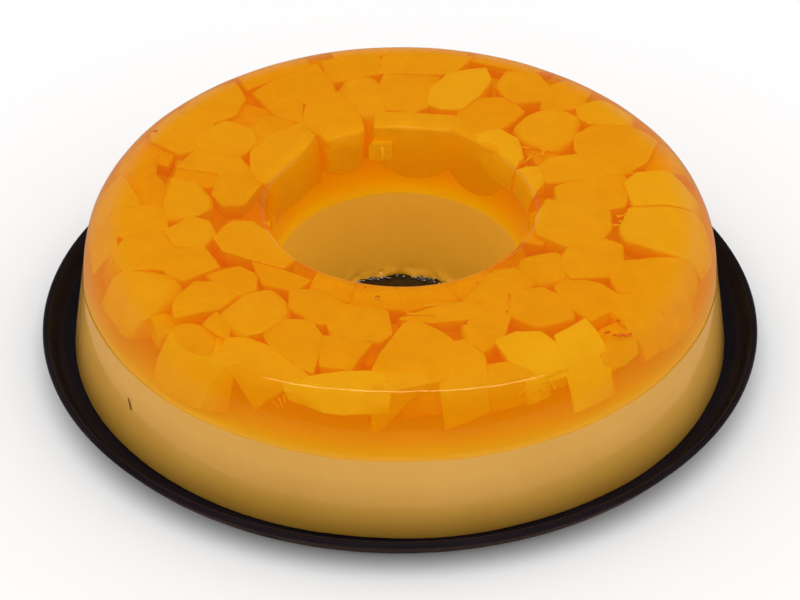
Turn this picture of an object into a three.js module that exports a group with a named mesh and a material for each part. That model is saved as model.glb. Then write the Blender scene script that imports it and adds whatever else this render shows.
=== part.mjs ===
// A ring of fruit jelly, turned out of its mould onto a shallow black plate.
// A thick layer of set custard cream stands on the plate, and a layer of clear jelly lies on it.
// Millimetres, +Z up. The origin is the middle of the plate's foot, on the table.
import * as THREE from "three";

// The plate
const plateRadius = 140; // to the outside of the lip
const plateThickness = 3;
const plateRise = 6.8; // from the plate's floor to the top of its lip
const plateFootHeight = 2;
const plateFootRadius = 92;
const plateFootWidth = 6;
const plateFootBevel = 1;
const lipRadius = 1.4; // the lip is a half round bead
const lipTilt = Math.PI / 3; // the bead leans inwards: it starts this far below level on the outside
const coveMargin = 1.5; // flat floor left round the ring before the rim begins to rise
const coveSpread = 5; // how far the rising rim stays close to the floor
const coveLift = 0.4; // how little it has risen by there
const undersideSpread = 8; // the same for the rim's underside

// The ring of custard and jelly
const ringFootRadius = 126; // outside of the ring, where it stands on the plate
const ringTaper = 0.108; // mm inwards for each mm up, so that the mould lets go
const custardHeight = 33.5;
const jellyHeight = 29;
const footChamfer = 1;
const shoulderStart = 41; // height above the plate where the outer wall begins to turn over
const shoulderWidth = 21; // how far in from there the flat top starts
const shoulderWallPull = 0.5; // share of the rise in which the shoulder still follows the wall
const shoulderTopPull = 0.46; // share of the width by which it has reached the top
const holeFootRadius = 39;
const holeWaistRadius = 46.5; // where the two layers meet
const holeTaper = 0.14; // mm outwards for each mm up, in the jelly
const holeLipWidth = 5; // the rounded edge round the top of the hole
const holeLipHeight = 6.5;
const holeLipPull = 0.5; // share of the edge's width and height that its curve is drawn towards

const around = 96; // facets round the axis

// Heights worked out from them
const floorTop = plateFootHeight + plateThickness;
const layerLine = floorTop + custardHeight;
const ringTop = layerLine + jellyHeight;

const point = (radius, height) => new THREE.Vector2(radius, height);

// Outer wall of the ring at a height above the plate, below the shoulder
const wallRadius = (height) => ringFootRadius - ringTaper * height;

// A body of revolution about +Z from an outline in (radius, height)
function turned(name, outline, material) {
  const geometry = new THREE.LatheGeometry(outline, around);
  geometry.rotateX(Math.PI / 2);
  const mesh = new THREE.Mesh(geometry, material);
  mesh.name = name;
  return mesh;
}

// A point on the plate's lip, from 0 at the rim's underside to 1 at its inner slope
function beadPoint(share) {
  const angle = Math.PI * share - lipTilt;
  const centre = point(plateRadius - lipRadius, floorTop + plateRise - lipRadius);
  return centre.add(point(lipRadius * Math.cos(angle), lipRadius * Math.sin(angle)));
}

// A shallow plate: a foot ring, a flat floor and a gently coved rim that ends in a bead
function makePlate() {
  const coveStart = ringFootRadius + coveMargin;
  const undersideStart = coveStart - plateThickness;
  const beadSteps = 5;
  const bead = [];
  for (let i = 1; i < beadSteps; i++) {
    bead.push(beadPoint(i / beadSteps));
  }
  const cove = new THREE.QuadraticBezierCurve(
    beadPoint(1),
    point(coveStart + coveSpread, floorTop + coveLift),
    point(coveStart, floorTop),
  );
  const underside = new THREE.QuadraticBezierCurve(
    point(undersideStart, plateFootHeight),
    point(undersideStart + undersideSpread, plateFootHeight + coveLift),
    beadPoint(0),
  );
  const outline = [
    point(0, plateFootHeight),
    point(plateFootRadius - plateFootWidth, plateFootHeight),
    point(plateFootRadius - plateFootWidth + plateFootBevel, 0),
    point(plateFootRadius - plateFootBevel, 0),
    point(plateFootRadius, plateFootHeight),
    ...underside.getPoints(3),
    ...bead,
    ...cove.getPoints(4),
    point(0, floorTop),
  ];
  const glaze = new THREE.MeshStandardMaterial({ color: 0x1c191d, roughness: 0.35, metalness: 0 });
  return turned("plate", outline, glaze);
}

// The opaque layer: straight tapered walls inside and out, and slightly eased bottom edges
function makeCustardLayer() {
  const middle = custardHeight / 2;
  const outline = [
    point(holeFootRadius + footChamfer, floorTop),
    point(ringFootRadius - footChamfer, floorTop),
    point(wallRadius(footChamfer), floorTop + footChamfer),
    point(wallRadius(middle), floorTop + middle),
    point(wallRadius(custardHeight), layerLine),
    point(holeWaistRadius, layerLine),
    point((holeWaistRadius + holeFootRadius) / 2, floorTop + middle),
    point(holeFootRadius, floorTop + footChamfer),
  ];
  outline.push(outline[0].clone());
  const cream = new THREE.MeshStandardMaterial({ color: 0xd8a860, roughness: 0.25, metalness: 0 });
  return turned("custard_layer", outline, cream);
}

// The clear layer: the outer wall rolls over into a flat top, which rolls over again into the hole
function makeJellyLayer() {
  const shoulderFoot = point(wallRadius(shoulderStart), floorTop + shoulderStart);
  const wallPull = shoulderWallPull * (ringTop - shoulderFoot.y);
  const shoulder = new THREE.CubicBezierCurve(
    shoulderFoot,
    point(shoulderFoot.x - ringTaper * wallPull, shoulderFoot.y + wallPull),
    point(shoulderFoot.x - shoulderWidth * shoulderTopPull, ringTop),
    point(shoulderFoot.x - shoulderWidth, ringTop),
  );
  const lipFoot = point(
    holeWaistRadius + holeTaper * (jellyHeight - holeLipHeight),
    ringTop - holeLipHeight,
  );
  const lip = new THREE.CubicBezierCurve(
    point(lipFoot.x + holeLipWidth, ringTop),
    point(lipFoot.x + holeLipWidth * holeLipPull, ringTop),
    point(lipFoot.x + holeTaper * holeLipHeight * holeLipPull, lipFoot.y + holeLipHeight * holeLipPull),
    lipFoot,
  );
  const outline = [
    point(holeWaistRadius, layerLine),
    point(wallRadius(custardHeight), layerLine),
    ...shoulder.getPoints(8),
    ...lip.getPoints(5),
    point(holeWaistRadius, layerLine),
  ];
  const clearJelly = new THREE.MeshStandardMaterial({
    color: 0xf08c10,
    roughness: 0.05,
    metalness: 0,
    transparent: true,
    opacity: 0.6,
  });
  return turned("jelly_layer", outline, clearJelly);
}

const ringJelly = new THREE.Group();
ringJelly.name = "ring_jelly_on_plate";
ringJelly.add(makePlate(), makeCustardLayer(), makeJellyLayer());

export default ringJelly;
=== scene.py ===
import math
import random

import bpy
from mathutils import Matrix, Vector


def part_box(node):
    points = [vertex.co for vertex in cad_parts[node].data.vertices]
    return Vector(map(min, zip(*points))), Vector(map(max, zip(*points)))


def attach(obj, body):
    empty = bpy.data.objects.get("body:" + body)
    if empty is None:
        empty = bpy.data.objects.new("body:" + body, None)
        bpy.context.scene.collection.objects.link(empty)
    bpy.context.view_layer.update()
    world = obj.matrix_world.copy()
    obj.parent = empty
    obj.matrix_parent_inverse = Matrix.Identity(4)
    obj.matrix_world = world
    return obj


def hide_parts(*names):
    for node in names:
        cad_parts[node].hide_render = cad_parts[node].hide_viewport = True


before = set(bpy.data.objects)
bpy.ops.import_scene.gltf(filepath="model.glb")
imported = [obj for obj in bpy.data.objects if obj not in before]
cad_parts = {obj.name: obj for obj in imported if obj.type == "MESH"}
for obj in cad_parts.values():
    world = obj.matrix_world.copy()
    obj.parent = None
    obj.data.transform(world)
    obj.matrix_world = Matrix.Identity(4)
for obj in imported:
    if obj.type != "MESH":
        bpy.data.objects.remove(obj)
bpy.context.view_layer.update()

# Where the CAD pieces are, in metres
custardLow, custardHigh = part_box("custard_layer")
jellyLow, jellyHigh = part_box("jelly_layer")
floorTop = custardLow.z  # the plate's floor, where the ring stands
layerLine = jellyLow.z  # where the custard ends and the clear jelly begins
ringTop = jellyHigh.z
millimetre = 0.001
sharpAngle = math.radians(40)  # edges sharper than this stay crisp
print("frame loaded: ring from", round(floorTop, 4), "to", round(ringTop, 4))


# Small helpers for modelling

def deselectAll():
    bpy.ops.object.select_all(action="DESELECT")


def activate(piece):
    deselectAll()
    piece.select_set(True)
    bpy.context.view_layer.objects.active = piece


def editAll(piece):
    activate(piece)
    bpy.ops.object.mode_set(mode="EDIT")
    bpy.ops.mesh.select_all(action="SELECT")


def leaveEdit():
    bpy.ops.object.mode_set(mode="OBJECT")


def applyTransforms():
    bpy.ops.object.transform_apply(location=True, rotation=True, scale=True)


def applyModifiers(piece):
    activate(piece)
    for modifier in list(piece.modifiers):
        bpy.ops.object.modifier_apply(modifier=modifier.name)


def joinPieces(pieces, name):
    deselectAll()
    for piece in pieces:
        piece.select_set(True)
    bpy.context.view_layer.objects.active = pieces[0]
    if len(pieces) > 1:
        bpy.ops.object.join()
    joined = bpy.context.object
    joined.name = name
    joined.data.name = name
    return joined


def cubicCurve(start, startPull, endPull, end, steps):
    points = []
    for i in range(steps + 1):
        t = i / steps
        u = 1 - t
        weights = (u ** 3, 3 * u * u * t, 3 * u * t * t, t ** 3)
        corners = (start, startPull, endPull, end)
        points.append(tuple(sum(w * c[k] for w, c in zip(weights, corners)) for k in (0, 1)))
    return points


def turnOutline(name, outline, steps):
    # One vertex is extruded along the outline and then spun round +Z
    radius, height = outline[0]
    deselectAll()
    bpy.ops.mesh.primitive_plane_add(size=0.01, location=(radius, 0, height))
    piece = bpy.context.object
    piece.name = name
    applyTransforms()
    editAll(piece)
    bpy.ops.mesh.merge(type="CENTER")
    for (r0, z0), (r1, z1) in zip(outline, outline[1:]):
        bpy.ops.mesh.extrude_region_move(TRANSFORM_OT_translate={"value": (r1 - r0, 0, z1 - z0)})
    bpy.ops.mesh.select_all(action="SELECT")
    bpy.ops.mesh.spin(steps=steps, angle=2 * math.pi, center=(0, 0, 0), axis=(0, 0, 1))
    bpy.ops.mesh.select_all(action="SELECT")
    bpy.ops.mesh.remove_doubles(threshold=0.00001)
    bpy.ops.mesh.normals_make_consistent(inside=False)
    leaveEdit()
    bpy.ops.object.shade_smooth()
    return piece


def addUnevenness(piece, size, strength, group="", along="NORMAL"):
    clouds = bpy.data.textures.new(piece.name + "Clouds", "CLOUDS")
    clouds.noise_scale = size
    clouds.cloud_type = "COLOR"
    displace = piece.modifiers.new("unevenness", "DISPLACE")
    displace.direction = along
    displace.texture = clouds
    displace.texture_coords = "LOCAL"
    displace.mid_level = 0.5
    displace.strength = strength
    displace.vertex_group = group


# Small helpers for materials

def feed(tree, node, values):
    # A value is either a plain one or another node's output
    for key, value in values.items():
        if isinstance(value, bpy.types.NodeSocket):
            tree.links.new(value, node.inputs[key])
        else:
            node.inputs[key].default_value = value


def addNode(tree, kind, values=None, **settings):
    node = tree.nodes.new(kind)
    for key, value in settings.items():
        setattr(node, key, value)
    feed(tree, node, values or {})
    return node


def calculate(tree, operation, *values, clamp=False):
    node = addNode(tree, "ShaderNodeMath", dict(enumerate(values)), operation=operation, use_clamp=clamp)
    return node.outputs[0]


def mapRange(tree, value, fromMin, fromMax, toMin=0.0, toMax=1.0):
    values = {"Value": value, "From Min": fromMin, "From Max": fromMax, "To Min": toMin, "To Max": toMax}
    return addNode(tree, "ShaderNodeMapRange", values).outputs["Result"]


def mixColours(tree, factor, first, second, blend="MIX"):
    values = {"Factor": factor, "A": first, "B": second}
    return addNode(tree, "ShaderNodeMix", values, data_type="RGBA", blend_type=blend).outputs["Result"]


def noise(tree, place, scale, detail, **others):
    values = {"Vector": place, "Scale": scale, "Detail": detail, **others}
    return addNode(tree, "ShaderNodeTexNoise", values).outputs["Fac"]


def newMaterial(name):
    material = bpy.data.materials.new(name)
    material.use_nodes = True
    tree = material.node_tree
    return material, tree, tree.nodes["Principled BSDF"]


def colour(red, green, blue):
    # From a colour as it looks on screen, 0 to 255, to a linear one
    def linear(c):
        c = c / 255
        return c / 12.92 if c <= 0.04045 else ((c + 0.055) / 1.055) ** 2.4
    return (linear(red), linear(green), linear(blue), 1)


def newGroup(name, inputs, outputs):
    group = bpy.data.node_groups.new(name, "ShaderNodeTree")
    for title, kind, default in inputs:
        socket = group.interface.new_socket(title, in_out="INPUT", socket_type="NodeSocket" + kind)
        socket.default_value = default
    for title, kind in outputs:
        group.interface.new_socket(title, in_out="OUTPUT", socket_type="NodeSocket" + kind)
    return group, group.nodes.new("NodeGroupInput").outputs, group.nodes.new("NodeGroupOutput")


def makeCloudyGroup():
    # Two colours that drift into each other in soft clouds, with a finer mottle on top
    inputs = [
        ("Light", "Color", (1, 1, 1, 1)), ("Dark", "Color", (0, 0, 0, 1)), ("Size", "Float", 60.0),
        ("Fine Size", "Float", 500.0), ("Contrast", "Float", 1.0),
    ]
    group, given, result = newGroup("cloudyColour", inputs, [("Color", "Color")])
    place = addNode(group, "ShaderNodeTexCoord").outputs["Object"]
    big = noise(group, place, given["Size"], 3.0, Roughness=0.55)
    fine = noise(group, place, given["Fine Size"], 2.0, Roughness=0.6)
    blend = addNode(group, "ShaderNodeMix", {"Factor": 0.3, "A": big, "B": fine}, data_type="FLOAT")
    centred = calculate(group, "SUBTRACT", blend.outputs["Result"], 0.5)
    stretched = calculate(group, "MULTIPLY_ADD", centred, given["Contrast"], 0.5, clamp=True)
    feed(group, result, {"Color": mixColours(group, stretched, given["Dark"], given["Light"])})
    return group


def makeMoistGroup():
    # A wet skin: broad soft waves, small pits and patches that are a little duller
    inputs = [
        ("Wave Size", "Float", 40.0), ("Pit Size", "Float", 700.0), ("Pits", "Float", 0.3),
        ("Smooth", "Float", 0.05), ("Dull", "Float", 0.2),
    ]
    group, given, result = newGroup("moistSkin", inputs, [("Height", "Float"), ("Roughness", "Float")])
    place = addNode(group, "ShaderNodeTexCoord").outputs["Object"]
    waves = noise(group, place, given["Wave Size"], 1.0)
    pits = noise(group, place, given["Pit Size"], 2.0, Roughness=0.7)
    height = calculate(group, "MULTIPLY_ADD", pits, given["Pits"], waves)
    patches = mapRange(group, waves, 0.42, 0.68, given["Smooth"], given["Dull"])
    feed(group, result, {"Height": height, "Roughness": patches})
    return group


cloudyGroup = makeCloudyGroup()
moistGroup = makeMoistGroup()


def cloudyColour(tree, light, dark, size, fineSize, contrast):
    values = {"Light": light, "Dark": dark, "Size": size, "Fine Size": fineSize, "Contrast": contrast}
    return addNode(tree, "ShaderNodeGroup", values, node_tree=cloudyGroup).outputs["Color"]


def addBump(tree, shader, height, strength, distance):
    bump = addNode(tree, "ShaderNodeBump", {"Height": height, "Strength": strength, "Distance": distance})
    feed(tree, shader, {"Normal": bump.outputs["Normal"]})


def addSkin(tree, shader, waveSize, pitSize, pits, smooth, dull):
    # Returns the height of the skin, for a bump
    values = {"Wave Size": waveSize, "Pit Size": pitSize, "Pits": pits, "Smooth": smooth, "Dull": dull}
    skin = addNode(tree, "ShaderNodeGroup", values, node_tree=moistGroup)
    feed(tree, shader, {"Roughness": skin.outputs["Roughness"]})
    return skin.outputs["Height"]


# Camera

cameraSettings = {"distance": 1.9865, "elevation": 36.9, "aimHeight": 0.021, "lens": 230.5, "sensorWidth": 36}


def placeInFront(thing, elevation, distance, height):
    # In front of the object at an elevation in degrees, and turned to a height on its axis
    up = math.radians(elevation)
    back = Vector((0, -math.cos(up), math.sin(up)))
    thing.location = Vector((0, 0, height)) + back * distance
    thing.rotation_euler = (-back).to_track_quat("-Z", "Y").to_euler()


def makeCamera():
    s = cameraSettings
    data = bpy.data.cameras.new("mainCamera")
    camera = bpy.data.objects.new("mainCamera", data)
    bpy.context.scene.collection.objects.link(camera)
    data.lens = s["lens"]
    data.sensor_width = s["sensorWidth"]
    data.clip_start = 0.05
    data.clip_end = 50
    placeInFront(camera, s["elevation"], s["distance"], s["aimHeight"])
    bpy.context.scene.camera = camera


makeCamera()
print("camera placed")


# Plate

plateSettings = {
    "thickness": 0.003,
    "radius": 0.1388,
    "rise": 0.0076,
    "footHeight": 0.002,
    "footRadius": 0.092,
    "footWidth": 0.006,
    "footBevel": 0.001,
    "lipRadius": 0.0014,
    "lipTilt": 60,
    "coveStart": 0.1275,
    "coveSpread": 0.005,
    "coveLift": 0.0004,
    "undersideSpread": 0.008,
    "floorRings": (0.95, 0.8, 0.6, 0.4, 0.3, 0.2, 0.1, 0),  # shares of the custard's radius
    "steps": 256,
}


def plateOutline():
    s = plateSettings
    lipRadius = s["lipRadius"]
    lipCentre = (s["radius"] - lipRadius, floorTop + s["rise"] - lipRadius)

    def lipPoint(share):
        angle = math.pi * share - math.radians(s["lipTilt"])
        return (lipCentre[0] + lipRadius * math.cos(angle), lipCentre[1] + lipRadius * math.sin(angle))

    coveStart = s["coveStart"]
    underStart = coveStart - s["thickness"]
    footOut = s["footRadius"]
    footIn = footOut - s["footWidth"]
    footHeight = s["footHeight"]
    underCorner = (underStart + s["undersideSpread"], footHeight + s["coveLift"])
    coveCorner = (coveStart + s["coveSpread"], floorTop + s["coveLift"])
    outline = [(0, footHeight), (footIn * 0.5, footHeight), (footIn, footHeight)]
    outline += [(footIn + s["footBevel"], 0), (footOut - s["footBevel"], 0), (footOut, footHeight)]
    outline += cubicCurve((underStart, footHeight), underCorner, underCorner, lipPoint(0), 10)
    outline += [lipPoint(i / 10) for i in range(1, 10)]
    outline += cubicCurve(lipPoint(1), coveCorner, coveCorner, (coveStart, floorTop), 12)
    outline += [(custardHigh.x * share, floorTop) for share in s["floorRings"]]
    return outline


def plateMaterial():
    material, tree, shader = newMaterial("blackGlaze")
    glaze = cloudyColour(tree, colour(30, 25, 31), colour(20, 15, 20), 35, 900, 2.5)
    feed(tree, shader, {"Base Color": glaze, "Specular IOR Level": 0.1})
    addBump(tree, shader, addSkin(tree, shader, 60, 1500, 0.15, 0.22, 0.42), 0.15, 0.0004)
    return material


def makePlate():
    plate = turnOutline("black_plate", plateOutline(), plateSettings["steps"])
    bpy.ops.object.shade_smooth_by_angle(angle=sharpAngle)
    plate.data.materials.append(plateMaterial())
    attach(plate, "root")
    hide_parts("plate")


makePlate()
print("plate made")


# Custard layer

custardSettings = {
    "taper": 0.122,
    "footRadius": 0.1265,
    "footRound": 0.0008,
    "holeFootRadius": 0.0368,
    "holeWaistRadius": 0.0465,
    "waves": 0.0009,
    "waveSize": 0.045,
    "ragged": 0.01,
    "raggedSize": 0.003,
    "raggedHeight": 0.005,
    "raggedWidth": 0.004,
    "footShadeBand": (0.009, 0.034),  # where the painted shade at the foot ends, above the plate's floor, before it wanders
    "wander": 0.016,
    "holeLightFade": (0.05, 0.09),  # the painted light on the hole's wall fades between these radii
    "rim": (0.1165, 0.1225),  # the glow of the top turns paler between these
    "topGlow": (0.21, 0.205, 0.0, 1),
    "rimGlow": (0.28, 0.24, 0.03, 1),
    "holeGlow": 0.35,
    "steps": 288,
}


def wallRadius(height):
    # The outer wall of the ring, at a height above the plate's floor, below the shoulder
    return custardSettings["footRadius"] - custardSettings["taper"] * height


def custardOutline():
    s = custardSettings
    height = layerLine - floorTop
    foot = s["footRound"]
    waist, holeFoot = s["holeWaistRadius"], s["holeFootRadius"]
    outline = [(holeFoot + foot, floorTop)]
    outline += [(0.05 + 0.01 * i, floorTop) for i in range(7)]
    outline += cubicCurve(
        (wallRadius(0) - foot, floorTop), (wallRadius(0) - foot * 0.4, floorTop),
        (wallRadius(0), floorTop + foot * 0.4), (wallRadius(foot), floorTop + foot), 4,
    )
    outline += [(wallRadius(height * i / 16), floorTop + height * i / 16) for i in range(1, 17)]
    outline += [(0.115 - 0.01 * i, layerLine) for i in range(7)]
    drop = floorTop + foot - layerLine
    for share in [i / 16 for i in range(15)] + [0.9, 0.925, 0.95, 0.975, 1]:
        outline.append((waist + (holeFoot - waist) * share, layerLine + drop * share))
    outline.append(outline[0])
    return outline


def custardMaterial():
    s = custardSettings
    material, tree, shader = newMaterial("setCustard")
    place = addNode(tree, "ShaderNodeTexCoord")
    spot = place.outputs["Object"]
    outside = cloudyColour(tree, colour(221, 167, 80), colour(212, 158, 71), 30, 260, 1.6)
    inside = cloudyColour(tree, colour(236, 164, 62), colour(227, 155, 53), 40, 300, 1.6)
    foot = cloudyColour(tree, colour(196, 146, 56), colour(186, 137, 48), 30, 260, 1.6)
    # Painted shade: near its foot, by the dark plate, the outside is darker, up to a line that wanders
    rise = addNode(tree, "ShaderNodeSeparateXYZ", {"Vector": spot}).outputs["Z"]
    wander = calculate(tree, "MULTIPLY_ADD", noise(tree, spot, 22.0, 2.0), s["wander"], rise)
    low = mapRange(tree, wander, floorTop + s["footShadeBand"][0], floorTop + s["footShadeBand"][1])
    footShadeBands = mixColours(tree, low, foot, outside)
    # Painted light: the wall of the hole is a warmer orange, and glows, for the light that comes to it
    # through the jelly
    flat = addNode(tree, "ShaderNodeVectorMath", {0: spot, 1: (1, 1, 0)}, operation="MULTIPLY")
    reach = addNode(tree, "ShaderNodeVectorMath", {0: flat.outputs["Vector"]}, operation="LENGTH")
    radius = reach.outputs["Value"]
    holeLightFade = mapRange(tree, radius, *s["holeLightFade"], 1.0, 0.0)
    # The top glows with the light that the jelly gathers above it, and is palest near the wall
    facing = addNode(tree, "ShaderNodeSeparateXYZ", {"Vector": place.outputs["Normal"]}).outputs["Z"]
    topOnly = mapRange(tree, facing, 0.7, 0.95)
    glowing = mixColours(tree, mapRange(tree, radius, *s["rim"]), s["topGlow"], s["rimGlow"])
    amount = calculate(tree, "MAXIMUM", topOnly, calculate(tree, "MULTIPLY", holeLightFade, s["holeGlow"]))
    feed(tree, shader, {
        "Base Color": mixColours(tree, holeLightFade, footShadeBands, inside),
        "Emission Color": mixColours(tree, amount, (0, 0, 0, 1), glowing),
        "Emission Strength": 1.0,
        "IOR": 1.6,
    })
    addBump(tree, shader, addSkin(tree, shader, 45, 900, 0.05, 0.06, 0.12), 0.15, 0.0006)
    return material


def makeCustard():
    s = custardSettings
    custard = turnOutline("custard_ring", custardOutline(), s["steps"])
    footGroup = custard.vertex_groups.new(name="holeFoot")
    for vertex in custard.data.vertices:
        rise = vertex.co.z - floorTop
        reach = math.hypot(vertex.co.x, vertex.co.y)
        if reach < s["holeFootRadius"] + s["raggedWidth"] and rise < s["raggedHeight"]:
            footGroup.add([vertex.index], 1 - rise / s["raggedHeight"], "REPLACE")
    # Both layers are pushed the same way wherever they meet
    addUnevenness(custard, s["waveSize"], s["waves"], along="RGB_TO_XYZ")
    addUnevenness(custard, s["raggedSize"], s["ragged"], "holeFoot")
    applyModifiers(custard)
    bpy.ops.object.shade_smooth_by_angle(angle=sharpAngle)
    custard.data.materials.append(custardMaterial())
    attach(custard, "root")
    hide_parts("custard_layer")


makeCustard()
print("custard made")


# Clear jelly

jellySettings = {
    "sink": 0.0005,  # how far it reaches down into the custard, so that no air lies between
    "inset": 0.0006,
    "shoulderStart": 0.041,
    "shoulderWidth": 0.021,
    "shoulderWallPull": 0.5,
    "shoulderTopPull": 0.46,
    "holeTaper": 0.14,
    "lipWidth": 0.005,
    "lipHeight": 0.0065,
    "lipPull": 0.5,
    "absorbDensity": 150,
    "absorbColour": (1.0, 0.9, 0.0, 1),
}


def jellyOutline():
    s = jellySettings
    waist = custardSettings["holeWaistRadius"]
    wallFoot = wallRadius(layerLine - floorTop)
    shoulderFoot = (wallRadius(s["shoulderStart"]), floorTop + s["shoulderStart"])
    wallPull = s["shoulderWallPull"] * (ringTop - shoulderFoot[1])
    shoulder = cubicCurve(
        shoulderFoot,
        (shoulderFoot[0] - custardSettings["taper"] * wallPull, shoulderFoot[1] + wallPull),
        (shoulderFoot[0] - s["shoulderWidth"] * s["shoulderTopPull"], ringTop),
        (shoulderFoot[0] - s["shoulderWidth"], ringTop),
        22,
    )
    lipRise = s["lipHeight"]
    lipFoot = (waist + s["holeTaper"] * (ringTop - layerLine - lipRise), ringTop - lipRise)
    lip = cubicCurve(
        (lipFoot[0] + s["lipWidth"], ringTop),
        (lipFoot[0] + s["lipWidth"] * s["lipPull"], ringTop),
        (lipFoot[0] + s["holeTaper"] * lipRise * s["lipPull"], lipFoot[1] + lipRise * s["lipPull"]),
        lipFoot,
        12,
    )
    bottom = layerLine - s["sink"]
    outline = [(waist + s["inset"], bottom)]
    outline += [(0.055 + 0.01 * i, bottom) for i in range(7)]
    outline += [(wallFoot - s["inset"], bottom), (wallFoot, layerLine)]
    for i in (1, 2, 3):
        height = layerLine - floorTop + (s["shoulderStart"] - layerLine + floorTop) * i / 4
        outline.append((wallRadius(height), floorTop + height))
    outline += shoulder
    flat = shoulder[-1][0] - lip[0][0]
    outline += [(lip[0][0] + flat * (1 - i / 10), ringTop) for i in range(1, 10)]
    outline += lip
    for share in [i / 10 for i in range(1, 11)]:
        outline.append(tuple(a + (b - a) * share for a, b in zip(lipFoot, (waist, layerLine))))
    outline.append(outline[0])
    return outline


def jellyMaterial():
    material, tree, shader = newMaterial("clearJelly")
    tint = cloudyColour(tree, (1, 0.985, 0.95, 1), (1, 0.97, 0.9, 1), 25, 120, 1.0)
    feed(tree, shader, {"Base Color": tint, "Transmission Weight": 1.0, "IOR": 1.35})
    addBump(tree, shader, addSkin(tree, shader, 30, 400, 0.01, 0.02, 0.05), 0.12, 0.0008)
    absorb = addNode(tree, "ShaderNodeVolumeAbsorption", {
        "Color": jellySettings["absorbColour"], "Density": jellySettings["absorbDensity"],
    })
    feed(tree, tree.nodes["Material Output"], {"Volume": absorb.outputs["Volume"]})
    return material


def makeJelly():
    jelly = turnOutline("clear_jelly", jellyOutline(), custardSettings["steps"])
    addUnevenness(jelly, custardSettings["waveSize"], custardSettings["waves"], along="RGB_TO_XYZ")
    applyModifiers(jelly)
    jelly.data.materials.append(jellyMaterial())
    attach(jelly, "root")
    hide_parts("jelly_layer")
    return jelly


jelly = makeJelly()
print("jelly made")


# Fruit

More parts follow.
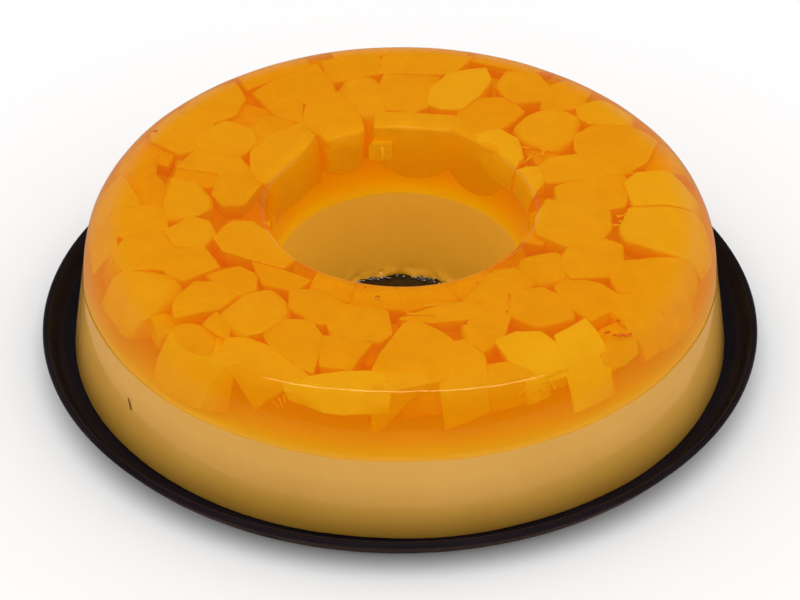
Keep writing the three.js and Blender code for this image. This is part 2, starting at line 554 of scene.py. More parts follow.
# The pieces that show on top. Each is (tone, height, rounding, corners). The tone is 0 for deep orange and 1
# for pale yellow, height and rounding are millimetres, and a corner is (degrees round the ring, millimetres
# from its axis). A third number in a corner says how far the knife leans there, and a number after the
# corners how many degrees the bottom slants.
topFruit = [
    (0.50, 16, 2, [(270.7, 73.5), (276, 75), (280.5, 82), (282.4, 88.4), (280.2, 98), (278.4, 107),
        (275.8, 108), (270.1, 104.5), (264.5, 101.7), (266.7, 91.9)]),
    (0.85, 11, 1, [(249.4, 114.5), (253, 110), (255, 107.8), (259.2, 106), (262.4, 104.2), (266, 106),
        (267.2, 113, -0.05), (260, 115, -0.05), (253.5, 116)]),
    (0.55, 20, 1, [(265.6, 113.5), (265.6, 106), (270, 104.5), (274.2, 104, 0.95), (274.8, 108.5)]),
    (0.55, 20, 1, [(281.9, 90), (285.2, 89.3), (287.6, 99), (286.7, 106), (285.8, 112.4),
        (277.4, 112.4, -0.1), (279.9, 101)], -17),
    (0.45, 15, 1, [(286.6, 104.5), (294, 106.5), (294.3, 112.3), (285.9, 112.5)]),
    (0.95, 8, 1, [(293, 93), (297.5, 92.3), (302.5, 96.6), (303.2, 109), (302.5, 113), (297, 112.5),
        (293.1, 104)]),
    (0.95, 22, 1, [(305.2, 101.5), (312.6, 100.8), (311.8, 112.7, -0.25), (303.2, 113)]),
    (0.45, 15, 1, [(250.5, 88), (262.3, 86), (259.5, 102), (254, 102)]),
    (0.50, 15, 1, [(239, 85), (245, 81), (250.3, 88), (252, 106), (246, 105), (238.7, 95)]),
    (0.55, 20, 1, [(232.6, 105, 0.1), (235.9, 101.8), (241.1, 102.5), (247, 106, 0.1), (251, 110.5, 0.75),
        (249.9, 113.9), (234.4, 113.5, 0.95)]),
    (0.30, 5, 3, [(221.3, 110), (222.5, 107), (225, 104.6), (229, 105.2), (230.8, 108), (230.8, 111.5),
        (227, 114), (223, 113.5)]),
    (0.45, 8, 1, [(225.5, 97.5), (230, 99.5), (231.5, 103.5), (226, 103)]),
    (0.55, 16, 5, [(226, 96), (229.5, 99), (234.5, 100.5), (238, 92), (239, 83), (236, 75), (229, 72),
        (225, 84)]),
    (0.50, 15, 3, [(287.5, 80), (296, 73.5), (300.5, 78), (298, 88), (293.7, 91), (290, 100), (286.3, 90)]),
    (0.50, 9, 1, [(271, 68), (283, 66), (292, 64), (297, 72), (288, 79), (279.5, 73.5), (271, 74)]),
    (0.45, 14, 1, [(293, 64), (301, 60), (306, 66), (301, 76), (297, 72)]),
    (0.45, 15, 2, [(301, 79), (308, 70), (315, 75), (316, 86), (312, 95), (304, 91)]),
    (0.45, 16, 1, [(316, 85), (319.5, 78), (325, 80), (326, 90), (325, 98), (320, 101), (315, 100)]),
    (0.45, 18, 4, [(320, 101), (325, 98), (328.5, 104), (328.8, 112), (326, 119), (320.5, 118),
        (319.5, 110)]),
    (0.50, 17, 3, [(326.5, 99), (330, 92), (336.7, 91), (341.8, 105), (344.5, 115), (336, 118.5),
        (329.5, 113)]),
    (0.50, 15, 2, [(325, 79), (329, 71), (337, 70), (344, 80), (343, 87), (336, 91), (330, 89)]),
    (0.75, 16, 3, [(358.8, 89), (359.6, 114), (352, 118.5), (345.5, 116), (343.6, 103), (345, 89),
        (349, 86)]),
    (0.85, 14, 2, [(0.6, 90), (9.7, 88.5), (12.4, 94), (12, 105), (7, 113), (1.4, 112)]),
    (0.55, 15, 2, [(3, 61), (10.5, 61.5), (13.5, 74), (14.2, 88), (8, 89), (0.5, 85), (358.5, 77),
        (359, 67)]),
    (0.55, 15, 1, [(2.5, 57), (1.5, 66), (357, 79), (350, 80.5), (342, 78), (338, 68), (341, 56),
        (352, 54)]),
    (0.60, 14, 2, [(16.5, 57), (25, 60), (28, 66), (26, 76), (21, 84.5), (14.8, 90.5), (14.3, 74)]),
    (0.50, 16, 3, [(27, 78), (33.5, 83), (34.5, 91), (31, 102), (24.5, 109), (17, 98), (15.3, 91.5),
        (20.5, 84.5)]),
    (0.60, 15, 4, [(49.5, 76), (46.5, 90), (40, 91.5), (33.5, 80), (31.5, 70), (41, 64.5), (48.5, 68)]),
    (0.45, 14, 1, [(53.8, 98), (52, 107), (46.5, 108), (43.7, 97), (46.5, 89), (49.5, 87)]),
    (0.50, 15, 2, [(64.5, 90), (64.5, 100), (59, 104), (54, 99.5), (52.5, 90), (57, 83.5), (60.5, 85)]),
    (0.45, 15, 2, [(67.5, 60), (70, 70), (66.5, 79), (60, 84), (53, 80), (53, 67), (58, 58)]),
    (0.85, 16, 1, [(80.3, 69.5), (80.3, 80), (77, 91), (70, 97), (67.7, 92), (67.5, 81), (70, 69),
        (76, 67)]),
    (0.50, 16, 1, [(95, 66), (95.3, 80), (93, 90), (81, 90), (80.8, 79), (80.8, 69), (86, 63.5)]),
    (0.50, 14, 1, [(94, 91), (93, 104), (75, 103.5), (77.5, 92)]),
    (0.50, 16, 5, [(104.2, 61), (107.3, 80), (103, 88), (97.3, 88.5), (94.6, 78), (94.8, 66), (98.5, 60)]),
    (0.55, 16, 2, [(124.8, 66), (118, 76), (107.5, 80), (104.8, 71), (105.8, 55.5), (111, 52), (121, 53)]),
    (0.45, 14, 1, [(108, 89), (107, 102), (95.5, 103), (95, 91)]),
    (0.45, 15, 2, [(119, 81), (120, 98), (109.5, 101), (108.3, 90), (109, 82), (117, 78)]),
    (0.45, 14, 1, [(128, 77), (126.5, 95), (120.5, 98), (119.7, 80), (124.5, 70)]),
    (0.50, 15, 1, [(129, 105), (131, 95), (136.5, 90), (143, 93), (143, 106), (136, 110)]),
    (0.55, 15, 2, [(143.7, 92), (154, 88), (157.5, 92), (155.5, 105), (151, 109), (143.7, 108)]),
    (0.60, 16, 3, [(140, 88), (138.7, 77), (143.5, 69.5), (152.5, 71), (154.5, 87), (148, 91)]),
    (0.55, 14, 1, [(163, 89), (155.5, 86.5), (153.5, 70), (158, 64), (162, 72)]),
    (0.55, 20, 1, [(126, 66.5), (127, 55), (132, 52), (150, 52), (164, 53), (160, 60), (148, 67),
        (137, 68)]),
    (0.40, 14, 1, [(126.5, 71), (131, 79), (139, 76.5), (144, 69), (136, 68.5)]),
    (0.35, 13, 1, [(161, 90), (162, 73), (168, 71), (170, 79), (167.5, 88)]),
    (0.60, 15, 4, [(168, 89.5), (170, 79), (176, 73.5), (181.5, 73.5), (185.3, 80.5), (185, 90),
        (178.5, 90.5)]),
    (0.45, 13, 1, [(160.5, 72), (158.5, 63.5), (165, 57), (178, 60.5), (179, 67), (173.5, 71.5)]),
    (0.55, 16, 1, [(168.7, 111), (171, 107), (179, 100.7), (180, 109), (181, 118.5), (172, 118.5)]),
    (0.50, 15, 1, [(180.5, 109), (180, 100), (181.5, 91), (189.7, 91), (190.3, 105), (187, 112.5)]),
    (0.45, 12, 1, [(182, 112), (182, 118.5), (192, 118.5), (193, 112), (188.5, 110)]),
    (0.50, 15, 1, [(190.7, 91.5), (197.5, 90), (204, 98), (200, 110.5), (194.5, 112.5), (191, 105)]),
    (0.60, 15, 2, [(190.3, 89.5), (186.3, 80), (188.5, 74), (195, 73.5), (199, 80.5), (197, 88.5)]),
    (0.50, 15, 1, [(198.3, 90), (200, 80), (209, 79.5), (209.7, 94), (206.5, 97), (203.5, 97)]),
    (0.55, 19, 7, [(200, 112), (205, 99), (210, 95.5), (214.5, 99.5), (215.5, 108), (212, 119),
        (200.5, 118.5)]),
    (0.50, 15, 1, [(214.7, 99.5), (212.7, 91), (216, 84.5), (222.5, 85), (223.5, 94), (219.5, 107),
        (216.7, 104)]),
    (0.45, 14, 2, [(211.5, 84), (212.5, 72), (219, 70), (224, 76), (222.5, 84), (216.5, 83.5)]),
    (0.50, 14, 3, [(189, 65), (190.5, 58), (201, 53), (220, 52.5), (221, 59), (212, 64), (204, 71.5),
        (196, 72.5)]),
    (0.40, 12, 1, [(214, 65), (222, 61.5), (233, 58.5), (233, 66), (224, 70)]),
    (0.45, 13, 1, [(234, 68), (241, 63), (251, 65.5), (253, 76), (247.5, 79.5), (238, 76)]),
    (0.50, 14, 1, [(252, 66.5), (265, 67.5), (267, 80), (264.5, 84.5), (254, 86), (250.5, 78)]),
    (0.45, 14, 4, [(318, 60), (325, 58), (333, 66), (329, 74.5), (323, 77), (316.5, 72)]),
    (0.45, 12, 1, [(301.5, 59), (310, 56.5), (317, 60), (315, 70), (307, 69)]),
    (0.70, 13, 1, [(43.3, 97), (41.5, 105), (35, 110), (31.3, 104), (36, 93), (39.5, 92)]),
    (0.85, 13, 1, [(56, 56), (52, 62), (44, 62), (34, 56), (32, 51.5), (45, 51.5), (53, 52)]),
    (0.70, 12, 2, [(27.5, 52), (25, 58), (15, 56), (10.5, 52), (20, 51)]),
    (0.45, 12, 1, [(126.5, 101), (124.5, 112), (112, 113), (111, 103)]),
    (0.45, 12, 1, [(104, 104.5), (103.5, 112), (88, 113), (88, 105)]),
    (0.45, 12, 1, [(86.5, 105), (86.5, 113), (77, 112), (76, 105)]),
    (0.45, 12, 1, [(73.5, 104), (72, 111), (58.5, 111), (60, 104.5)]),
]
# The ones that lie lower, as (tone, depth of the top below the jelly's top, height, rounding, corners)
lowFruit = [
    (0.70, 4.6, 21, 1, [(221.6, 112), (224, 106), (229, 104), (234.2, 106), (236.4, 111, -0.12),
        (234, 114, -0.2), (230.5, 116.8, -0.25), (226, 118.3, -0.2), (221.8, 118)]),
    (0.85, 5.5, 11, 1, [(293.8, 104), (298.8, 104), (298.4, 112.8), (296.2, 113.9), (294.4, 112.4)]),
    (0.45, 6, 8, 1, [(298.6, 104), (302.8, 104), (302.4, 112.6), (298.6, 112.2)]),
    (0.40, 6, 8, 1, [(311.4, 109), (315, 105.5), (319, 106.5), (318.6, 115.3, -0.1), (315, 116, -0.1),
        (311.4, 115)]),
    (0.35, 9, 12, 2, [(328.5, 115), (334, 119), (330, 120), (326, 119)]),
    (0.40, 5, 12, 1, [(23.5, 109), (17, 99), (13, 101), (14, 112), (20, 114)]),
    (0.30, 5, 13, 1, [(130, 72), (127.5, 80), (132, 93), (139.5, 86), (139, 76)]),
    (0.35, 4, 14, 1, [(168, 97), (170.5, 106.5), (179, 100), (179.3, 92), (172, 91.5)]),
    (0.40, 4, 14, 1, [(161, 112), (160.5, 101), (167, 98), (169.5, 106), (167, 111.5)]),
    (0.35, 5, 12, 1, [(155, 108), (157.5, 96), (162, 95), (161, 112)]),
    (0.45, 6, 9, 2, [(214.7, 111), (218, 107), (221, 109), (219, 115)]),
    (0.35, 5, 19, 2, [(358, 52), (355, 59), (338, 58), (337, 52), (348, 51)]),
    (0.95, 7, 8, 2, [(102, 51), (100, 55), (94, 54), (95, 50)]),
    (0.40, 5, 10, 1, [(37, 63), (34, 70), (28, 69), (28, 62)]),
    (0.35, 4, 14, 2, [(235, 52.5), (249, 51.5), (251, 62), (238, 61)]),
    (0.40, 5, 15, 2, [(251, 51.5), (268, 51), (270, 63), (253, 65)]),
    (0.35, 4.5, 14, 2, [(270, 51), (288, 51.5), (290, 61), (272, 64)]),
    (0.40, 5, 14, 2, [(290, 51.5), (309, 52), (308, 58), (292, 61)]),
    (0.35, 6, 10, 1, [(107, 57), (110, 52), (122, 52), (120, 57)]),
]
# Rounded slices that stand on edge against the wall of the hole, as (tone, angle, radius, disc radius,
# height of its middle above the jelly's foot, thickness, turn about the upright)
standingSlices = [
    (0.60, 83, 57, 18, 22, 10, 3),
    (0.45, 55, 56.5, 16, 19, 9, -6),
]
# A lower layer fills the room below them, and shows as a deeper orange in the gaps
fillFruit = {
    "rings": ((70, 11), (86, 14), (100, 17)),
    "reach": (7.5, 9.5),
    "shift": (-0.2, 0.2),
    "corners": (0, 80, 165, 270),
    "turnBy": (-15, 15),
    "depth": (9, 13),
    "height": (7, 10),
    "tone": 0.3,
}
fruitSettings = {
    "seed": 7,
    "blockSize": 0.08,
    "depth": (1.1, 1.9),
    "deepTone": 0.7,  # a tone below this one lies deeper
    "deepBy": 9.0,
    "lean": (-0.04, 0.14),
    "slope": 0.06,  # how far the tops slope
    "slantFrom": 0.8,  # share of the height at which a slanted bottom crosses the middle
    "grow": 0.0017,  # neighbours grow until they all but touch
    "rounding": 0.0008,
    "bevel": 0.0006,
    "sliceBevel": 0.001,
    "sliceDepth": 0.0018,
    "wobble": 0.0022,
    "wobbleSize": 0.011,
    "grain": 0.0006,
    "grainSize": 0.002,
    "skinOver": 0.001,  # jelly left over a piece that comes near the surface
    # Painted light and shade: the pieces glow, for the light that soaks through the flesh, and their sides
    # are painted a deeper orange than their tops
    "topGlow": (0.27, 0.08, 0.0, 1),
    "sideGlow": (0.295, 0.108, 0.0, 1),
    "sideShade": (0.95, 0.79, 0.6, 1),
}


def ringPoint(corner):
    angle = math.radians(corner[0])
    radius = corner[1] * millimetre
    return Vector((radius * math.cos(angle), radius * math.sin(angle), 0))


def cutOff(spot, away):
    # Takes off all that lies beyond a plane, and closes the cut
    bpy.ops.mesh.select_all(action="SELECT")
    bpy.ops.mesh.bisect(plane_co=spot, plane_no=away, use_fill=True, clear_outer=True)


def softenEdges(piece, width):
    # Rounds what is sharp and makes the faces finer, ready to be made uneven
    bevel = piece.modifiers.new("bevel", "BEVEL")
    bevel.width = width
    bevel.segments = 2
    bevel.limit_method = "ANGLE"
    bevel.angle_limit = sharpAngle
    applyModifiers(piece)
    editAll(piece)
    bpy.ops.mesh.quads_convert_to_tris()
    bpy.ops.mesh.subdivide(number_cuts=1)
    leaveEdit()
    return piece


def cutFruit(corners, top, height, rounding, draw, slant=0):
    # A block is cut along each side in turn, with the knife leaning a little
    s = fruitSettings
    points = [ringPoint(corner) for corner in corners]
    middle = sum(points, Vector()) / len(points)
    deselectAll()
    bpy.ops.mesh.primitive_cube_add(size=1, location=(middle.x, middle.y, top - height / 2))
    piece = bpy.context.object
    piece.scale = (s["blockSize"], s["blockSize"], height)
    applyTransforms()
    editAll(piece)
    for corner, start, end in zip(corners, points, points[1:] + points[:1]):
        side = (end - start).cross(Vector((0, 0, 1)))
        if side.dot(start - middle) < 0:
            side = -side
        lean = corner[2] if len(corner) > 2 else draw.uniform(*s["lean"])
        side = (side.normalized() + Vector((0, 0, -lean))).normalized()
        cutOff(start + side * s["grow"] + Vector((0, 0, top)), side)
    slope = s["slope"]
    cutOff((middle.x, middle.y, top), Vector((draw.uniform(-slope, slope), draw.uniform(-slope, slope), 1)))
    if slant:
        across = Vector((middle.y, -middle.x, 0)).normalized() * math.tan(math.radians(slant))
        cutOff((middle.x, middle.y, top - height * s["slantFrom"]), across - Vector((0, 0, 1)))
    bpy.ops.mesh.select_all(action="DESELECT")
    leaveEdit()
    for edge in piece.data.edges:
        low, high = (piece.data.vertices[i].co for i in edge.vertices)
        edge.select = abs(high.z - low.z) > height * 0.5
    activate(piece)
    bpy.ops.object.mode_set(mode="EDIT")
    bpy.ops.mesh.select_mode(type="EDGE")
    bpy.ops.mesh.bevel(offset=rounding * s["rounding"], segments=4 if rounding > 1 else 2, affect="EDGES")
    bpy.ops.mesh.select_mode(type="VERT")
    leaveEdit()
    return softenEdges(piece, s["bevel"])


def standSlice(angle, radius, reach, height, thickness, turn):
    way = math.radians(angle)
    spot = ringPoint((angle, radius)) + Vector((0, 0, layerLine + height * millimetre))
    deselectAll()
    bpy.ops.mesh.primitive_cylinder_add(
        vertices=40, radius=reach * millimetre, depth=thickness * millimetre, location=spot,
        rotation=(0, math.pi / 2, way + math.radians(turn)),
    )
    piece = bpy.context.object
    applyTransforms()
    editAll(piece)
    cutOff((0, 0, ringTop - fruitSettings["sliceDepth"]), (0, 0, 1))
    leaveEdit()
    return softenEdges(piece, fruitSettings["sliceBevel"])


def withTone(piece, tone):
    layer = piece.data.attributes.new("tone", "FLOAT", "POINT")
    layer.data.foreach_set("value", [tone] * len(layer.data))
    return piece


def fruitMaterial():
    s = fruitSettings
    material, tree, shader = newMaterial("ripeFruit")
    flesh = cloudyColour(tree, colour(212, 156, 24), colour(200, 140, 18), 110, 700, 2.4)
    pale = cloudyColour(tree, colour(218, 180, 34), colour(210, 168, 28), 120, 800, 2.2)
    tone = addNode(tree, "ShaderNodeAttribute", attribute_name="tone").outputs["Fac"]
    top = mixColours(tree, mapRange(tree, tone, 0.3, 1.0), flesh, pale)
    # Painted shade: the sides are a deeper orange than the tops, which are lit from above; each has its own
    # glow of painted light
    place = addNode(tree, "ShaderNodeTexCoord")
    facing = addNode(tree, "ShaderNodeSeparateXYZ", {"Vector": place.outputs["Normal"]}).outputs["Z"]
    upright = mapRange(tree, facing, 0.15, 0.85)
    shadedSides = mixColours(tree, 1.0, top, s["sideShade"], "MULTIPLY")
    feed(tree, shader, {
        "Base Color": mixColours(tree, upright, shadedSides, top),
        "Emission Color": mixColours(tree, upright, s["sideGlow"], s["topGlow"]),
        "Emission Strength": 1.0,
        "Roughness": 0.6,
        "IOR": 1.08,
    })
    # Fine fibres, much longer than they are wide
    stretch = addNode(tree, "ShaderNodeMapping", {
        "Vector": place.outputs["Object"], "Rotation": (0.3, 0.2, 0.6), "Scale": (1.0, 6.0, 2.0),
    })
    fibres = noise(tree, stretch.outputs["Vector"], 220.0, 3.0, Distortion=0.6)
    addBump(tree, shader, fibres, 0.4, 0.0004)
    return material


def finishFruit(pieces, name, material):
    s = fruitSettings
    fruit = joinPieces(pieces, name)
    addUnevenness(fruit, s["wobbleSize"], s["wobble"])
    addUnevenness(fruit, s["grainSize"], s["grain"])
    inside = fruit.modifiers.new("inside", "SHRINKWRAP")
    inside.target = jelly
    inside.wrap_method = "NEAREST_SURFACEPOINT"
    inside.wrap_mode = "INSIDE"
    inside.offset = s["skinOver"]
    applyModifiers(fruit)
    bpy.ops.object.shade_smooth_by_angle(angle=sharpAngle)
    fruit.data.materials.append(material)
    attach(fruit, "root")


def cutFillPiece(angle, radius, draw):
    f = fillFruit
    middle = ringPoint((angle, radius)) / millimetre
    reach = draw.uniform(*f["reach"])
    turn = draw.uniform(0, 90)
    corners = []
    for step in f["corners"]:
        way = math.radians(turn + step + draw.uniform(*f["turnBy"]))
        spot = middle + Vector((math.cos(way), math.sin(way), 0)) * reach
        corners.append((math.degrees(math.atan2(spot.y, spot.x)), math.hypot(spot.x, spot.y)))
    top = ringTop - draw.uniform(*f["depth"]) * millimetre
    height = draw.uniform(*f["height"]) * millimetre
    return withTone(cutFruit(corners, top, height, 1, draw), f["tone"])


def makeFruit():
    s = fruitSettings
    draw = random.Random(s["seed"])
    material = fruitMaterial()
    upper = []
    for tone, height, rounding, corners, *slant in topFruit:
        depth = draw.uniform(*s["depth"]) + s["deepBy"] * max(0, s["deepTone"] - tone) ** 1.5
        top = ringTop - depth * millimetre
        upper.append(withTone(cutFruit(corners, top, height * millimetre, rounding, draw, *slant), tone))
    lower = []
    for tone, depth, height, rounding, corners in lowFruit:
        top = ringTop - depth * millimetre
        lower.append(withTone(cutFruit(corners, top, height * millimetre, rounding, draw), tone))
    for tone, *shape in standingSlices:
        lower.append(withTone(standSlice(*shape), tone))
    for radius, count in fillFruit["rings"]:
        for i in range(count):
            angle = 360 * (i + draw.uniform(*fillFruit["shift"])) / count
            lower.append(cutFillPiece(angle, radius, draw))
    finishFruit(upper, "fruit_pieces", material)
    finishFruit(lower, "fruit_pieces_below", material)


makeFruit()
print("fruit made")


# Loose bits: shreds torn off the fruit, dark specks, bubbles, pale blobs that are painted glints on the wet
# plate, and a hair

# Shreds, as (degrees round the ring, millimetres from its axis, millimetres below its top, heading, pitch,
# length, width). The heading is 0 for outwards.
shreds = [
    (351, 82, 2.2, 10, 4, 8, 1.0),
    (353, 84, 2.0, -25, 0, 6, 0.8),
    (355, 83, 2.6, 35, 6, 7, 0.9),
    (356.5, 86, 2.4, -60, 0, 5, 0.8),
    (98, 50, 8, 178, 70, 9, 1.1),
    (95, 50.5, 9, 170, 80, 11, 0.9),
    (101, 50.5, 10, 200, 65, 7, 0.8),
    (87, 53, 3.2, 92, 2, 17, 1.1),
    (190, 53, 6, -95, 15, 12, 1.3),
    (345, 55, 3.5, 70, 4, 12, 0.8),
    (349, 58, 3.0, 80, 3, 13, 0.7),
    (31, 64, 2.5, 40, 0, 7, 1.2),
    (34, 66, 2.2, -30, 6, 6, 1.1),
    (37, 63, 2.6, 120, 2, 6, 1.0),
    (33, 61, 2.4, 200, 8, 7, 1.0),
    (298.5, 113.6, 8, 70, 55, 8, 1.8),
    (296.5, 114.2, 10, 100, 60, 6, 1.6),
    (295.3, 114.2, 13, -80, 40, 5, 1.2),
    (294.2, 113.2, 9.5, -95, 25, 6, 1.3),
    (247, 113, 13, 60, 40, 6, 0.7),
    (246, 113.5, 15, 80, 20, 5, 0.6),
    (248, 113, 11, 40, 50, 5, 0.7),
    (202, 112, 8, 20, 50, 7, 0.9),
    (204.5, 112, 9, -30, 60, 6, 0.8),
    (210.5, 112, 7, 10, 55, 7, 0.9),
    (213, 109, 6, 60, 30, 8, 0.8),
    (272, 69, 1.8, 85, 2, 15, 0.8),
    (278, 65, 1.7, 95, 2, 16, 0.7),
    (315.5, 116, 11, 10, 70, 6, 0.9),
]
# Specks as (degrees, millimetres from the axis, millimetres below the top, heading, length, width)
specks = [
    (314.7, 109.2, 3.4, 75, 2.6, 0.8),
    (315.6, 111.5, 4.2, 60, 1.6, 0.7),
    (316.6, 112.6, 4.8, 80, 3.2, 0.9),
    (317.6, 113.6, 5.4, 55, 2.4, 1.0),
    (318.6, 114.0, 5.8, 85, 2.0, 0.7),
    (318.8, 107.6, 3.2, 20, 1.2, 0.7),
    (288, 79, 2.0, 30, 0.9, 0.6),
    (152, 108, 2.6, 10, 2.0, 1.3),
    (300.5, 78.5, 2.2, 60, 0.8, 0.6),
]
# Air bubbles as (degrees, millimetres from the axis, millimetres below the top, radius)
bubbles = [(256, 54.8, 1.5, 0.7), (256.8, 56.2, 1.3, 0.45), (262, 60, 1.5, 1.15), (300, 58, 1.5, 0.4)]
looseSettings = {
    "steps": 6,
    "bend": 9,
    "narrow": 0.82,
    "shredSize": (0.0008, 0.0015, 0.0012),  # metres for each millimetre of length, width and width again
    "speckSize": (0.0011, 0.0015, 0.001),
    "hair": {"angle": 215.6, "height": 0.0187, "pitch": -120, "size": (0.0055, 0.0009, 0.0005)},
    # Pale blobs that are painted glints on the wet plate in the hole
    "glintBlobs": 60,
    "glintSeed": 4,
    "glintAngles": ((67, 82), (97, 111), (60, 120)),
    "glintRadius": (34.2, 36.8),
    "glintSize": (0.15, 0.45),
    "glintShape": (1.6, 1, 0.6),
    "glintHeight": 0.0009,
}


def makeShred():
    # A flat strip a metre long, which narrows and curls down towards its tip
    s = looseSettings
    deselectAll()
    bpy.ops.mesh.primitive_plane_add(size=1, rotation=(0, math.pi / 2, 0))
    shred = bpy.context.object
    shred.scale = (0.6, 1, 1)
    applyTransforms()
    editAll(shred)
    for i in range(s["steps"]):
        bend = math.radians(i * s["bend"])
        way = (math.cos(bend) / s["steps"], 0, -math.sin(bend) / s["steps"])
        bpy.ops.mesh.extrude_region_move(TRANSFORM_OT_translate={"value": way})
        bpy.ops.transform.resize(value=(1, s["narrow"], s["narrow"]))
    bpy.ops.mesh.select_all(action="SELECT")
    bpy.ops.mesh.normals_make_consistent(inside=False)
    leaveEdit()
    bpy.ops.object.shade_smooth()
    return shred


def placeCopy(model, spot, turn, scale):
    twin = model.copy()
    twin.data = model.data.copy()
    bpy.context.scene.collection.objects.link(twin)
    twin.location = spot
    twin.rotation_euler = turn
    twin.scale = scale
    activate(twin)
    applyTransforms()
    return twin


def ringSpot(angle, radius, depth):
    return ringPoint((angle, radius)) + Vector((0, 0, ringTop - depth * millimetre))


def sizes(base, *millimetres):
    return [unit * amount for unit, amount in zip(base, millimetres)]


def finishLoose(pieces, name, material):
    loose = joinPieces(pieces, name)
    loose.data.materials.append(material)
    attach(loose, "root")


def looseMaterial(name, light, dark, glow):
    # The glow is painted light, which keeps a loose bit bright inside the jelly
    material, tree, shader = newMaterial(name)
    feed(tree, shader, {
        "Base Color": cloudyColour(tree, light, dark, 400, 1500, 2.5),
        "Roughness": 0.6,
        "Specular IOR Level": 0.1,
        "Emission Color": glow,
        "Emission Strength": 1.0,
    })
    return material


def bubbleMaterial():
    # Air inside jelly: light bends the other way
    material, tree, shader = newMaterial("airBubble")
    addSkin(tree, shader, 300, 900, 0.1, 0.0, 0.03)
    feed(tree, shader, {"Transmission Weight": 1.0, "IOR": 0.74})
    return material


def glintMaterial():
    # Pale and glossy blobs that are painted glints
    material, tree, shader = newMaterial("paintedGlints")
    pale = cloudyColour(tree, colour(190, 194, 190), colour(110, 110, 98), 300, 1200, 3.0)
    feed(tree, shader, {"Base Color": pale, "Roughness": 0.12})
    return material


def syrupMaterial():
    material, tree, shader = newMaterial("thinSyrup")
    dark = cloudyColour(tree, colour(38, 32, 26), colour(20, 18, 20), 90, 500, 2.5)
    feed(tree, shader, {"Base Color": dark})
    addBump(tree, shader, addSkin(tree, shader, 160, 900, 0.2, 0.04, 0.16), 0.6, 0.0012)
    return material


syrupSettings = {
    "skin": (
        (0, 0.0003), (0.02, 0.0003), (0.033, 0.0004), (0.0372, 0.0006), (0.0396, 0.0008), (0.0402, 0.0006),
    ),
    "underside": (0.0402, 0.02, 0),
    "sink": 0.0002,
    "steps": 96,
}


def makeSyrup():
    # A thin film that has gathered on the plate, inside the hole, up to the foot of the custard
    s = syrupSettings
    outline = [(radius, floorTop + rise) for radius, rise in s["skin"]]
    outline += [(radius, floorTop - s["sink"]) for radius in s["underside"]]
    syrup = turnOutline("syrup_film", outline, s["steps"])
    syrup.data.materials.append(syrupMaterial())
    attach(syrup, "root")


def makeShreds():
    s = looseSettings
    shred = makeShred()
    pieces = []
    for angle, radius, depth, heading, pitch, length, width in shreds:
        turn = (0, math.radians(pitch), math.radians(angle + heading))
        scale = sizes(s["shredSize"], length, width, width)
        pieces.append(placeCopy(shred, ringSpot(angle, radius, depth), turn, scale))
    # Painted light: the shreds glow a warm yellow-orange
    pale = looseMaterial("paleShred", colour(222, 172, 30), colour(212, 154, 20), (0.25, 0.09, 0.0, 1))
    finishLoose(pieces, "fruit_shreds", pale)
    # A hair is caught on the custard's outer wall
    hair = s["hair"]
    way = math.radians(hair["angle"])
    wall = wallRadius(hair["height"])
    spot = Vector((wall * math.cos(way), wall * math.sin(way), floorTop + hair["height"]))
    piece = placeCopy(shred, spot, (0, math.radians(hair["pitch"]), way + math.pi / 2), hair["size"])
    brown = looseMaterial("brownHair", colour(120, 86, 40), colour(84, 58, 26), (0.0, 0.0, 0.0, 1))
    finishLoose([piece], "caught_hair", brown)
    bpy.data.objects.remove(shred)


def makeSpecksAndGlints():
    s = looseSettings
    deselectAll()
    bpy.ops.mesh.primitive_ico_sphere_add(subdivisions=2, radius=0.5)
    ball = bpy.context.object
    pieces = []
    for angle, radius, depth, heading, length, width in specks:
        turn = (0.2, 0.1, math.radians(angle + heading))
        scale = sizes(s["speckSize"], length, width, width)
        pieces.append(placeCopy(ball, ringSpot(angle, radius, depth), turn, scale))
    # Painted light: the specks glow a brownish orange so that they do not go dark
    rust = looseMaterial("rustySpeck", colour(190, 84, 12), colour(150, 60, 8), (0.28, 0.055, 0.0, 1))
    finishLoose(pieces, "dark_specks", rust)
    # Painted glints: pale blobs along the back foot of the hole stand for the glints of the wet plate
    draw = random.Random(s["glintSeed"])
    pieces = []
    for i in range(s["glintBlobs"]):
        angle = draw.choice(tuple(draw.uniform(*span) for span in s["glintAngles"]))
        size = draw.uniform(*s["glintSize"]) * 2 * millimetre
        spot = ringPoint((angle, draw.uniform(*s["glintRadius"])))
        spot.z = floorTop + s["glintHeight"]
        turn = (0, 0, draw.uniform(0, 3))
        pieces.append(placeCopy(ball, spot, turn, sizes(s["glintShape"], size, size, size)))
    finishLoose(pieces, "painted_glints", glintMaterial())
    bpy.data.objects.remove(ball)


def makeBubbles():
    deselectAll()
    bpy.ops.mesh.primitive_uv_sphere_add(segments=24, ring_count=14, radius=1)
    bpy.ops.object.shade_smooth()
    ball = bpy.context.object
    pieces = []
    for angle, radius, depth, size in bubbles:
        pieces.append(placeCopy(ball, ringSpot(angle, radius, depth), (0, 0, 0), (size * millimetre,) * 3))
    finishLoose(pieces, "air_bubbles", bubbleMaterial())
    bpy.data.objects.remove(ball)


makeSyrup()
makeShreds()
makeSpecksAndGlints()
makeBubbles()
print("loose bits made")


# Stage: floor, world and lights

stageSettings = {
    "floorSize": 8.0,
    "floorColour": (244, 244, 244),
    "floorMirrored": (0.43, 0.27, 0.2, 1),
    "skyTop": 1.25,
    "skySide": 0.9,
    "mirroredTop": (0.05, 0.05, 0.05, 1),
    "mirroredSide": (0.34, 0.289, 0.357, 1),
    "strip": {"distance": 1.5, "elevation": 59.5, "length": 2.3, "width": 0.05, "power": 4.5},
    "stripColour": (1, 0.78, 0.3),
}


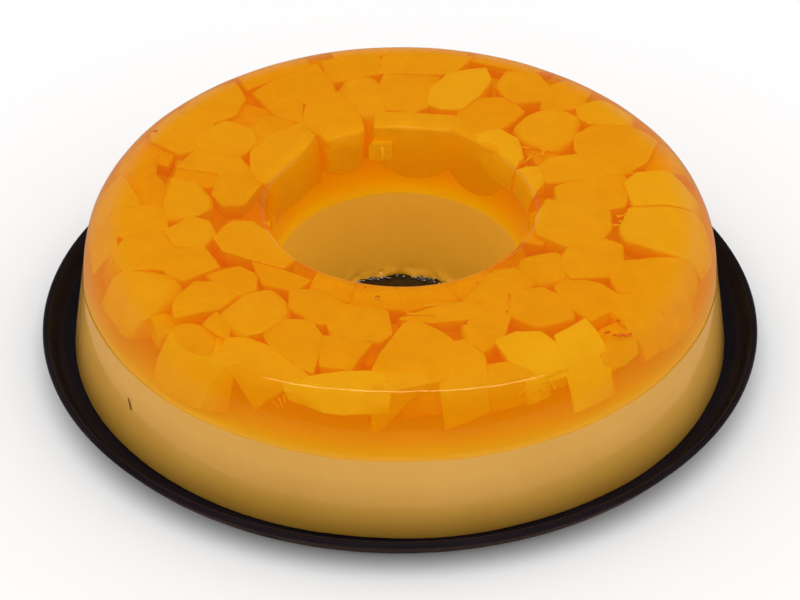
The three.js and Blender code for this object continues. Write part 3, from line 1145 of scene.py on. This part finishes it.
def mirrorOnly(tree):
    # A ray that has come out through the jelly counts as glossy too, and has to see the stage as it is
    ray = addNode(tree, "ShaderNodeLightPath").outputs
    return calculate(tree, "SUBTRACT", ray["Is Glossy Ray"], ray["Is Transmission Ray"], clamp=True)


def makeFloor():
    s = stageSettings
    deselectAll()
    bpy.ops.mesh.primitive_plane_add(size=s["floorSize"], location=(0, 0, 0))
    floor = bpy.context.object
    floor.name = "studio_floor"
    # Wet skin mirrors a dimmer floor than the one that is seen
    material, tree, shader = newMaterial("paleFloor")
    shade = mixColours(tree, mirrorOnly(tree), colour(*s["floorColour"]), s["floorMirrored"])
    feed(tree, shader, {"Base Color": shade, "Roughness": 0.9})
    floor.data.materials.append(material)


def makeWorld():
    # A bright soft dome lights the object. What its wet skin mirrors is dimmer, and brightest low behind it.
    s = stageSettings
    world = bpy.data.worlds.new("softDome")
    bpy.context.scene.world = world
    world.use_nodes = True
    tree = world.node_tree
    place = addNode(tree, "ShaderNodeTexCoord").outputs["Generated"]
    split = addNode(tree, "ShaderNodeSeparateXYZ", {"Vector": place}).outputs
    dome = mapRange(tree, split["Z"], 0.0, 1.0, s["skySide"], s["skyTop"])
    low = mapRange(tree, split["Z"], 0.1, 0.5, 1.0, 0.0)
    behind = mapRange(tree, split["Y"], -0.3, 0.3)
    bright = calculate(tree, "MULTIPLY", low, behind)
    mirrored = mixColours(tree, bright, s["mirroredTop"], s["mirroredSide"])
    feed(tree, tree.nodes["Background"], {"Color": mixColours(tree, mirrorOnly(tree), dome, mirrored)})


def makeStrip():
    s = stageSettings["strip"]
    data = bpy.data.lights.new("stripLight", "AREA")
    data.shape = "RECTANGLE"
    data.size = s["length"]
    data.size_y = s["width"]
    data.energy = s["power"]
    data.color = stageSettings["stripColour"]
    strip = bpy.data.objects.new("stripLight", data)
    bpy.context.scene.collection.objects.link(strip)
    placeInFront(strip, s["elevation"], s["distance"], ringTop)
    strip.visible_diffuse = False
    strip.visible_transmission = False


makeFloor()
makeWorld()
makeStrip()
bpy.context.scene.view_settings.view_transform = "Standard"
print("stage set")
